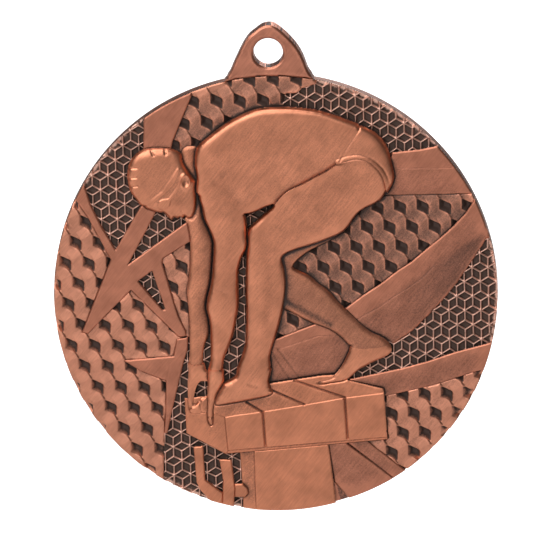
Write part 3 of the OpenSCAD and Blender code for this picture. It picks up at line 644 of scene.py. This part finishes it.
def plated(name, bright, dark, bare_from, bare_to, rough, stroke):
    """Antique copper: oxide colour below the wear bare_from, bare copper above bare_to. The limit is
    broken up by specks, 6.5 to a mm, and by slanted strokes of the brush, 6 to a mm and 12 times as
    long as wide. Clouds 2 mm wide and the strokes also change the tone of the bare copper."""
    material = bpy.data.materials.new(name)
    material.use_nodes = True
    tree = material.node_tree
    tree.nodes.clear()
    place = add(tree, "ShaderNodeTexCoord", {}, {}).outputs["Object"]
    # The wear attribute carries painted light and shade as well as the oxide's wear.
    worn_and_painted_light = add(tree, "ShaderNodeAttribute", {"attribute_name": "wear_and_painted_light"}, {}).outputs["Fac"]
    brush = {"vector_type": "TEXTURE", "Rotation": (0, math.radians(-50), 0), "Scale": (12, 1, 1)}
    turned = add(tree, "ShaderNodeMapping", brush, {"Vector": place}).outputs["Vector"]
    strokes = noise(tree, turned, 6.0, 3.0, 0.6)
    specks = noise(tree, place, 6.5, 3.0, 0.65)
    clouds = noise(tree, place, 0.5, 2.0, 0.5)
    grain = mixed(tree, "MULTIPLY_ADD", {1: 0.35}, {0: strokes, 2: specks})
    shift = mixed(tree, "MULTIPLY_ADD", {1: 0.5, 2: -0.3375}, {0: grain})
    shifted = mixed(tree, "ADD", {}, {0: worn_and_painted_light, 1: shift})
    bare_and_painted_light = ramp(tree, shifted, {"From Min": bare_from, "From Max": bare_to})
    tone = ramp(tree, strokes, {"From Min": 0.3, "From Max": 0.7, "To Min": 0.88, "To Max": 1.06})
    cloud = ramp(tree, clouds, {"From Min": 0.3, "From Max": 0.7, "To Min": 0.82, "To Max": 1.1})
    both = mixed(tree, "MULTIPLY", {}, {0: tone, 1: cloud})
    tinted = {"data_type": "RGBA", "blend_type": "MULTIPLY", 0: 1.0, 6: srgb(bright)}
    copper = add(tree, "ShaderNodeMix", tinted, {7: both}).outputs[2]
    colour = add(tree, "ShaderNodeMix", {"data_type": "RGBA", 6: srgb(dark)}, {0: bare_and_painted_light, 7: copper}).outputs[2]
    metal = ramp(tree, bare_and_painted_light, {"To Min": 0.55, "To Max": 1.0})
    matt = ramp(tree, bare_and_painted_light, {"To Min": 0.6, "To Max": rough})
    lift = mixed(tree, "MULTIPLY_ADD", {1: stroke}, {0: strokes, 2: specks})
    shallow = {"Strength": 0.5, "Distance": 0.02 / PER_MM}
    bump = add(tree, "ShaderNodeBump", shallow, {"Height": lift}).outputs[0]
    inputs = {"Base Color": colour, "Metallic": metal, "Roughness": matt, "Normal": bump}
    shader = add(tree, "ShaderNodeBsdfPrincipled", {}, inputs)
    add(tree, "ShaderNodeOutputMaterial", {}, {"Surface": shader.outputs[0]})
    return material


PLATED = {
    "copper_plated_blank": plated("plated_copper_brushed", "#c07e66", "#4a3630", 0.0, 0.2, 0.38, 1.0),
    "brushed_copper_bands": plated("antique_copper_bands", "#b87860", "#3f302b", 0.08, 0.48, 0.42, 1.2),
    "antique_copper_cubes": plated("antique_copper_cubes", "#cb8a70", "#4a3831", 0.12, 0.56, 0.4, 0.9),
    "antique_copper_lattice": plated("antique_copper_lattice", "#e3b5a2", "#4d3c34", 0.45, 0.8, 0.42, 0.6),
    "brushed_copper_block": plated("antique_copper_block", "#cc8465", "#3f302b", 0.08, 0.5, 0.38, 1.2),
    "polished_copper_swimmer": plated("rubbed_copper_swimmer", "#d08869", "#3f302b", 0.0, 0.54, 0.34, 0.5),
}

# ---- Cutting the relief ----
# Each region of the relief becomes a closed solid that sits on the front of the disc, with sharp
# edges round its top and its underside. The oxide lies on the lower part of its walls.
WALL_WEAR, EDGE_WALL_WEAR, LUG_WALL_WEAR = -1.2, -0.6, 0.2
NEAR_EDGE_R = 24.8

# Each case of a grid square, numbered 1, 2, 4, 8 for its corners a, b, c, d that lie inside, cut into
# polygons. Corners are 0 to 3, and the crossings of the sides ab, bc, cd, da are 4 to 7.
SQUARE_CASES = {
    1: [[0, 4, 7]], 2: [[1, 5, 4]], 3: [[0, 1, 5, 7]], 4: [[2, 6, 5]], 5: [[0, 4, 7], [2, 6, 5]],
    6: [[1, 2, 6, 4]], 7: [[0, 1, 2, 6, 7]], 8: [[3, 7, 6]], 9: [[0, 4, 6, 3]], 10: [[1, 5, 4], [3, 7, 6]],
    11: [[0, 1, 5, 6, 3]], 12: [[2, 3, 7, 5]], 13: [[0, 4, 5, 2, 3]], 14: [[1, 2, 3, 7, 4]],
    15: [[0, 1, 2, 3]],
}


def new_piece(name, vertices, polygons, wear_and_painted_light, node, slot, rims):
    """Makes one piece from metres and groups of polygons, each a table of corner numbers, with its
    wear at each vertex, painted light and shade included. The sides between vertices of one rim,
    numbered above 0, are sharp."""
    lengths = np.concatenate([np.full(len(group), group.shape[1]) for group in polygons])
    corners = np.concatenate([group.ravel() for group in polygons])
    mesh = bpy.data.meshes.new(name)
    mesh.vertices.add(len(vertices))
    mesh.vertices.foreach_set("co", vertices.astype(np.float32).ravel())
    mesh.loops.add(len(corners))
    mesh.loops.foreach_set("vertex_index", corners.astype(np.int32))
    mesh.polygons.add(len(lengths))
    mesh.polygons.foreach_set("loop_start", (np.cumsum(lengths) - lengths).astype(np.int32))
    mesh.polygons.foreach_set("use_smooth", np.ones(len(lengths), bool))
    mesh.update(calc_edges=True)
    ends = np.empty(len(mesh.edges) * 2, np.int32)
    mesh.edges.foreach_get("vertices", ends)
    ends = rims[ends.reshape(-1, 2)]
    sharp = (ends[:, 0] == ends[:, 1]) & (ends[:, 0] > 0)
    mesh.attributes.new("sharp_edge", "BOOLEAN", "EDGE").data.foreach_set("value", sharp)
    mesh.attributes.new("wear_and_painted_light", "FLOAT", "POINT").data.foreach_set("value", wear_and_painted_light.astype(np.float32))
    mesh.materials.append(PLATED[slot])
    piece = bpy.data.objects.new(name, mesh)
    bpy.context.scene.collection.objects.link(piece)
    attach(piece, "root")
    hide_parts(node)


def loops_in_order(first, after):
    """Closed rings of vertex numbers, from the sides first -> after. Each vertex learns its ring's
    lowest number and its steps to it by doubling the jump it looks along."""
    count = len(first)
    order = np.argsort(first)
    step = order[np.searchsorted(first[order], after)]
    doublings = int(math.log2(count)) + 2
    lowest, jump = np.arange(count), step.copy()
    for _ in range(doublings):
        lowest = np.minimum(lowest, lowest[jump])
        jump = jump[jump]
    head = lowest == np.arange(count)
    jump = np.where(head, np.arange(count), step)
    steps = (~head).astype(int)
    for _ in range(doublings):
        steps = steps + steps[jump]
        jump = jump[jump]
    rings = []
    for start in np.unique(lowest):
        ring = np.nonzero(lowest == start)[0]
        rings.append(first[ring[np.argsort(-steps[ring])]])
    return rings


def cut_surface(item):
    """The surface of heights, cut where d passes 0: on each side of the grid the crossing lies at the
    share d0 / (d0 - d1) of its length. Gives rows x, z, height, wear, groups of polygons over them,
    and the pairs of rows along the cut."""
    d = item["d"]
    # The oxide's wear plus each piece's own offset, which is mostly painted light and shade.
    wear_and_painted_light = wear_map[item["here"]] + item["bare_and_painted_light"]
    channels = [np.stack([grid_x[item["here"]], grid_z[item["here"]], item["height"], wear_and_painted_light], -1)]
    for axis in (1, 0):
        beyond = np.roll(d, -1, axis)
        share = np.clip(d / np.where(d == beyond, 1, d - beyond), 0.03, 0.97)[..., None]
        channels.append(channels[0] + (np.roll(channels[0], -1, axis) - channels[0]) * share)
    points = np.concatenate([channel.reshape(-1, 4) for channel in channels])
    size = d.size
    number = np.arange(size).reshape(d.shape)
    a, b, c, e = number[:-1, :-1], number[:-1, 1:], number[1:, 1:], number[1:, :-1]
    table = np.stack([a, b, c, e, size + a, 2 * size + b, size + e, 2 * size + a], -1)
    inside = d > 0
    case = inside[:-1, :-1] + 2 * inside[:-1, 1:] + 4 * inside[1:, 1:] + 8 * inside[1:, :-1]
    groups, cut = [], []
    for code, polygons in SQUARE_CASES.items():
        cells = table[case == code]
        for polygon in polygons:
            groups.append(cells[:, polygon])
            for start, end in zip(polygon, polygon[1:] + polygon[:1]):
                if start > 3 and end > 3:
                    cut.append(cells[:, [start, end]])
    used = np.unique(np.concatenate([group.ravel() for group in groups]))
    groups = [np.searchsorted(used, group) for group in groups]
    return points[used], groups, np.searchsorted(used, np.concatenate(cut))


def cut_piece(name, item):
    """A closed solid: the surface of heights, walls down from its cut, and a flat underside."""
    top, groups, cut = cut_surface(item)
    count = len(top)
    upper, lower = np.unique(cut, return_inverse=True)
    lower = lower.reshape(cut.shape) + count
    low = top[upper]
    low[:, 2] = item["back"]
    near_edge = np.hypot(low[:, 0], low[:, 1]) > NEAR_EDGE_R
    low[:, 3] = np.where(near_edge, EDGE_WALL_WEAR, WALL_WEAR) if item["back"] > 0 else LUG_WALL_WEAR
    walls = np.stack([cut[:, 0], lower[:, 0], lower[:, 1], cut[:, 1]], -1)
    rings = loops_in_order(lower[:, 0], lower[:, 1])
    flat = [low[ring - count, :2].tolist() for ring in rings]
    under = np.concatenate(rings)[np.array(tessellate_polygon(flat)).reshape(-1, 3)]
    turn = turn_of(low, under - count)
    under = np.where(turn[:, None] > 0, under[:, ::-1], under)
    every = np.concatenate([top, low])
    vertices = np.stack([every[:, 0], -every[:, 2], every[:, 1]], -1) / 1000
    rims = np.full(len(every), 2)
    rims[:count] = 0
    rims[upper] = 1
    new_piece(name, vertices, groups + [walls, under], every[:, 3], item["node"], item["slot"], rims)


for item in castings:
    cut_piece("lug" if item["node"] == "medal_blank" else item["node"] + "_relief", item)

# ---- The disc ----
# The plain body of the medal under the relief, with a rounded edge and, on the back, a flat rim round
# a shallow recess that takes an engraving plate. Its edge keeps a half-rubbed coat of oxide.
RIM_BACK, RECESS_R = 0.3, 22.5
TURNS = 256
profile = np.array([
    (0, -BLANK_FRONT), (24.9, -BLANK_FRONT), (DISC_R, -1.35), (DISC_R, 0.1), (24.94, 0.22), (24.8, RIM_BACK),
    (22.62, RIM_BACK), (RECESS_R, 0.24), (22.46, 0), (0, 0)
])
angle = np.arange(TURNS) * 2 * math.pi / TURNS
radii, depths = profile[1:-1].T[:, :, None]
circles = np.stack(np.broadcast_arrays(radii * np.cos(angle), depths, radii * np.sin(angle)), -1)
circles = circles.reshape(-1, 3)
disc_points = np.vstack([[(0, -BLANK_FRONT, 0)], circles, [(0, 0, 0)]]) / 1000
here = 1 + np.arange(TURNS)
after = 1 + (np.arange(TURNS) + 1) % TURNS
last = (len(radii) - 1) * TURNS
front = np.stack([np.zeros(TURNS, int), here, after], -1)
back = np.stack([np.full(TURNS, len(disc_points) - 1), last + after, last + here], -1)
around = np.concatenate([
    np.stack([here, here + TURNS, after + TURNS, after], -1) + k * TURNS for k in range(len(radii) - 1)
])
new_piece(
    "disc",
    disc_points,
    [front, around, back],
    np.where(np.hypot(disc_points[:, 0], disc_points[:, 2]) > 0.0249, 0.06, 0.6),
    "medal_blank",
    "copper_plated_blank",
    np.concatenate([[0], np.repeat(np.arange(1, len(radii) + 1), TURNS), [0]]),
)

# ---- Floor and light ----
# A pale floor under the medal that glows only behind it, so the backdrop is white and the metal still
# mirrors a dull ground. A large soft panel stands high in front, a small key light at the left, one
# lamp hangs above and one stands behind, in a dim even surround.
bpy.ops.mesh.primitive_plane_add(size=6, location=(0, 0, -0.06))
floor = bpy.context.object
floor.name = "floor"
white = bpy.data.materials.new("white_floor")
white.use_nodes = True
tree = white.node_tree
paint = tree.nodes["Principled BSDF"]
paint.inputs["Base Color"].default_value = srgb("#f4f4f4")
paint.inputs["Roughness"].default_value = 0.9
paint.inputs["Emission Color"].default_value = (1, 1, 1, 1)
spot = add(tree, "ShaderNodeTexCoord", {}, {}).outputs["Object"]
behind = add(tree, "ShaderNodeSeparateXYZ", {}, {0: spot}).outputs[1]
glow = ramp(tree, behind, {"From Min": 0.03, "From Max": 0.09, "To Max": 0.75})
tree.links.new(glow, paint.inputs["Emission Strength"])
floor.data.materials.append(white)


def lamp(name, place, size, power):
    """A square lamp that faces the medal."""
    light = bpy.data.lights.new(name, "AREA")
    light.size = size
    light.energy = power
    made = bpy.data.objects.new(name, light)
    made.location = place
    made.rotation_mode = "QUATERNION"
    made.rotation_quaternion = Vector(place).to_track_quat("Z", "Y")
    bpy.context.scene.collection.objects.link(made)


lamp("front_panel", (-0.14, -0.42, 0.27), 0.42, 1.62)
lamp("key", (-0.3, -0.2, 0.3), 0.16, 0.4)
lamp("back", (0.1, 0.4, 0.3), 0.3, 1.2)
lamp("above", (-0.06, -0.1, 0.5), 0.3, 1.0)
world = bpy.data.worlds.new("surround")
bpy.context.scene.world = world
world.use_nodes = True
world.node_tree.nodes["Background"].inputs["Color"].default_value = (1, 1, 1, 1)
world.node_tree.nodes["Background"].inputs["Strength"].default_value = 0.1
bpy.context.scene.view_settings.view_transform = "Standard"

# ---- Camera ----
# Without perspective, from a little above and a touch to the right, rolled so that the lug leans left.
azimuth, elevation, roll = math.radians(2), math.radians(12.1), math.radians(1.85)
right = Vector((math.cos(azimuth), math.sin(azimuth), 0))
level = Vector((-math.sin(azimuth), math.cos(azimuth), 0))
up = math.sin(elevation) * level + Vector((0, 0, math.cos(elevation)))
away = right.cross(up)
across = math.cos(roll) * right - math.sin(roll) * up
upward = math.sin(roll) * right + math.cos(roll) * up
centre = Vector((0, -0.0021, 0)) - 0.0000834 * across + 0.0020834 * upward
camera_data = bpy.data.cameras.new("camera")
camera_data.type = "ORTHO"
camera_data.ortho_scale = 0.062007
camera_data.clip_start, camera_data.clip_end = 0.01, 10
camera = bpy.data.objects.new("camera", camera_data)
turned = Matrix((across, upward, away)).transposed().to_4x4()
camera.matrix_world = Matrix.Translation(centre + away * 0.3) @ turned
bpy.context.scene.collection.objects.link(camera)
bpy.context.scene.camera = camera
